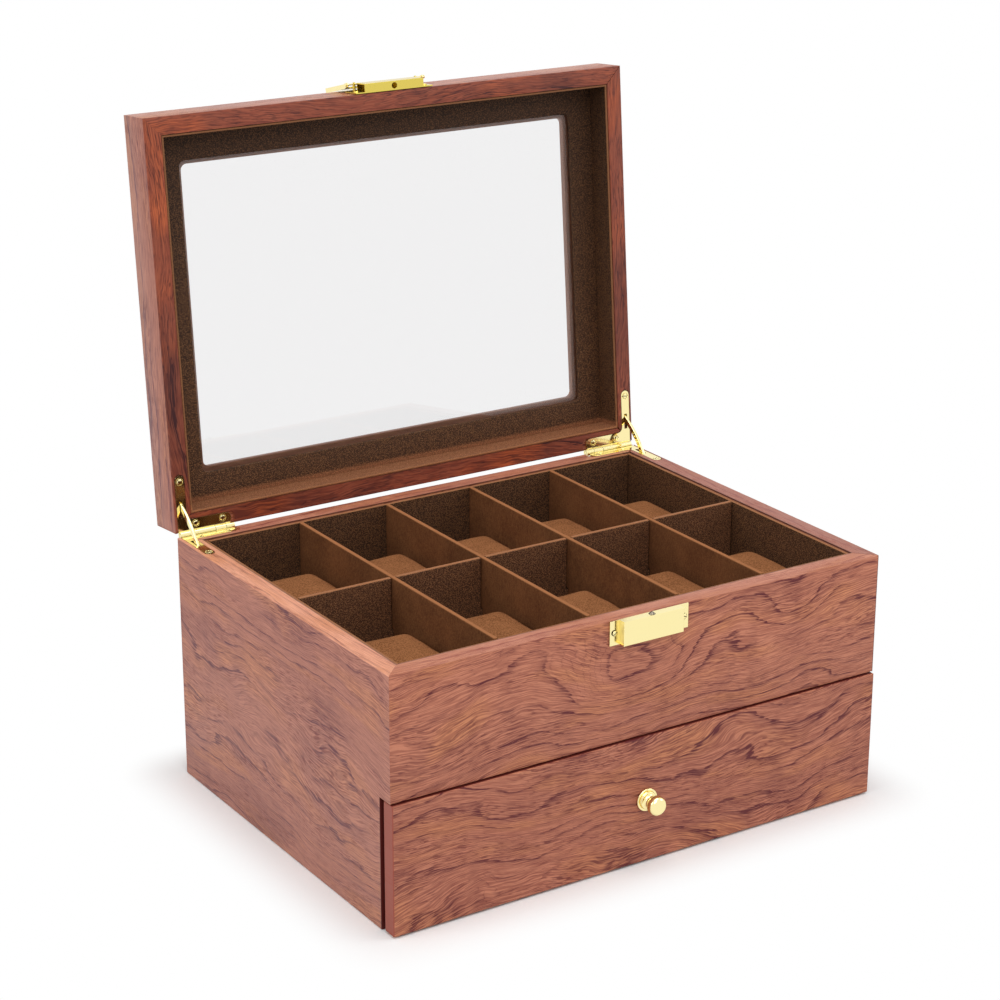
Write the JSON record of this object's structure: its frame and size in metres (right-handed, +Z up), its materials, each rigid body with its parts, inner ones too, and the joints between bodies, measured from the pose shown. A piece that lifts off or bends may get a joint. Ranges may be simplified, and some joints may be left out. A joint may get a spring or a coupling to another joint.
{
  "type": "watch display box",
  "caption": "Veneered watch box: a glazed lid on quadrant-stay hinges, lined compartments with lift-out pillows, a spring-ball catch with a flap, and a drawer below.",
  "frame": {"origin": "middle of the underside, on the surface that the box stands on", "axes": "+X to the right as seen from the front, -Y out of the drawer's front, +Z up"},
  "size_m": [0.28, 0.2711, 0.3415],
  "materials": {
    "case_veneer": "satin rosewood veneer",
    "lid_veneer": "satin red rosewood veneer",
    "drawer_wood": "stained board",
    "leatherette": "dark brown leatherette, fine grain",
    "suede": "brown suede cloth, pale brown on the top edges",
    "pillow_suede": "tan brown suede cloth",
    "felt": "felt",
    "brass": "polished",
    "steel": "bright",
    "glass": "clear float glass"
  },
  "bodies": {
    "case": {"left_side_panel": "case_veneer", "right_side_panel": "case_veneer", "back_panel": "case_veneer", "upper_front_panel": "case_veneer", "tray_floor": "drawer_wood", "bottom_board": "drawer_wood", "base_felt": "felt", "left_wall_lining": "leatherette", "right_wall_lining": "leatherette", "back_wall_lining": "leatherette", "front_wall_lining": "leatherette", "tray_floor_lining": "leatherette", "cross_divider": "suede", "long_divider_1": "suede", "long_divider_2": "suede", "long_divider_3": "suede", "long_divider_4": "suede", "left_case_hinge_leaf": "brass", "right_case_hinge_leaf": "brass", "left_hinge_pin": "brass", "right_hinge_pin": "brass", "case_catch_plate": "brass", "case_catch_screw_1": "brass", "case_catch_screw_2": "brass", "catch_spring": "steel"},
    "lid": {"lid_left_rail": "lid_veneer", "lid_right_rail": "lid_veneer", "lid_front_rail": "lid_veneer", "lid_back_rail": "lid_veneer", "lid_top_frame": "lid_veneer", "glass_pane": "glass", "lid_inner_frame": "leatherette", "lid_wall_lining": "leatherette", "left_lid_hinge_leaf": "brass", "right_lid_hinge_leaf": "brass", "lid_catch_plate": "brass", "catch_flap_pin": "brass"},
    "flap": {"catch_flap": "brass"},
    "ball": {"catch_ball": "steel"},
    "left_stay": {"left_lid_stay": "brass"},
    "right_stay": {"right_lid_stay": "brass"},
    "drawer": {"drawer_front": "case_veneer", "drawer_left_side": "drawer_wood", "drawer_right_side": "drawer_wood", "drawer_back": "drawer_wood", "drawer_bottom": "drawer_wood", "drawer_lining": "leatherette", "drawer_knob": "brass", "knob_screw": "steel"},
    "pillow_01": {"watch_pillow_01": "pillow_suede"},
    "pillow_02": {"watch_pillow_02": "pillow_suede"},
    "pillow_03": {"watch_pillow_03": "pillow_suede"},
    "pillow_04": {"watch_pillow_04": "pillow_suede"},
    "pillow_05": {"watch_pillow_05": "pillow_suede"},
    "pillow_06": {"watch_pillow_06": "pillow_suede"},
    "pillow_07": {"watch_pillow_07": "pillow_suede"},
    "pillow_08": {"watch_pillow_08": "pillow_suede"},
    "pillow_09": {"watch_pillow_09": "pillow_suede"},
    "pillow_10": {"watch_pillow_10": "pillow_suede"}
  },
  "joints": [
    {"name": "lid_hinge", "type": "hinge", "parent": "case", "child": "lid", "pos_m": [0, 0.1046, 0.12925], "axis": [-1, 0, 0], "range_deg": [-95, 0]},
    {"name": "left_stay_turn", "type": "hinge", "parent": "case", "child": "left_stay", "pos_m": [-0.136, 0.1046, 0.12925], "axis": [-1, 0, 0], "range_deg": [-47.5, 0]},
    {"name": "right_stay_turn", "type": "hinge", "parent": "case", "child": "right_stay", "pos_m": [0.136, 0.1046, 0.12925], "axis": [-1, 0, 0], "range_deg": [-47.5, 0]},
    {"name": "drawer_slide", "type": "slide", "parent": "case", "child": "drawer", "axis": [0, -1, 0], "range_m": [0, 0.15]},
    {"name": "catch_ball_press", "type": "slide", "parent": "case", "child": "ball", "axis": [0, 0, -1], "range_m": [0, 0.001], "stiffness_N_per_m": 200, "deforming": ["catch_spring"]},
    {"name": "catch_flap_hinge", "type": "hinge", "parent": "lid", "child": "flap", "pos_m": [0, 0.13292, 0.33998], "axis": [-1, 0, 0], "range_deg": [-189.92, 0]},
    {"name": "pillow_01_lift", "type": "slide", "parent": "case", "child": "pillow_01", "axis": [0, 0, 1], "range_m": [0, 0.06]},
    {"name": "pillow_02_lift", "type": "slide", "parent": "case", "child": "pillow_02", "axis": [0, 0, 1], "range_m": [0, 0.06]},
    {"name": "pillow_03_lift", "type": "slide", "parent": "case", "child": "pillow_03", "axis": [0, 0, 1], "range_m": [0, 0.06]},
    {"name": "pillow_04_lift", "type": "slide", "parent": "case", "child": "pillow_04", "axis": [0, 0, 1], "range_m": [0, 0.06]},
    {"name": "pillow_05_lift", "type": "slide", "parent": "case", "child": "pillow_05", "axis": [0, 0, 1], "range_m": [0, 0.06]},
    {"name": "pillow_06_lift", "type": "slide", "parent": "case", "child": "pillow_06", "axis": [0, 0, 1], "range_m": [0, 0.06]},
    {"name": "pillow_07_lift", "type": "slide", "parent": "case", "child": "pillow_07", "axis": [0, 0, 1], "range_m": [0, 0.06]},
    {"name": "pillow_08_lift", "type": "slide", "parent": "case", "child": "pillow_08", "axis": [0, 0, 1], "range_m": [0, 0.06]},
    {"name": "pillow_09_lift", "type": "slide", "parent": "case", "child": "pillow_09", "axis": [0, 0, 1], "range_m": [0, 0.06]},
    {"name": "pillow_10_lift", "type": "slide", "parent": "case", "child": "pillow_10", "axis": [0, 0, 1], "range_m": [0, 0.06]}
  ],
  "couplings": [
    {"joint": "left_stay_turn", "follows": "lid_hinge", "ratio": 0.5},
    {"joint": "right_stay_turn", "follows": "lid_hinge", "ratio": 0.5}
  ]
}
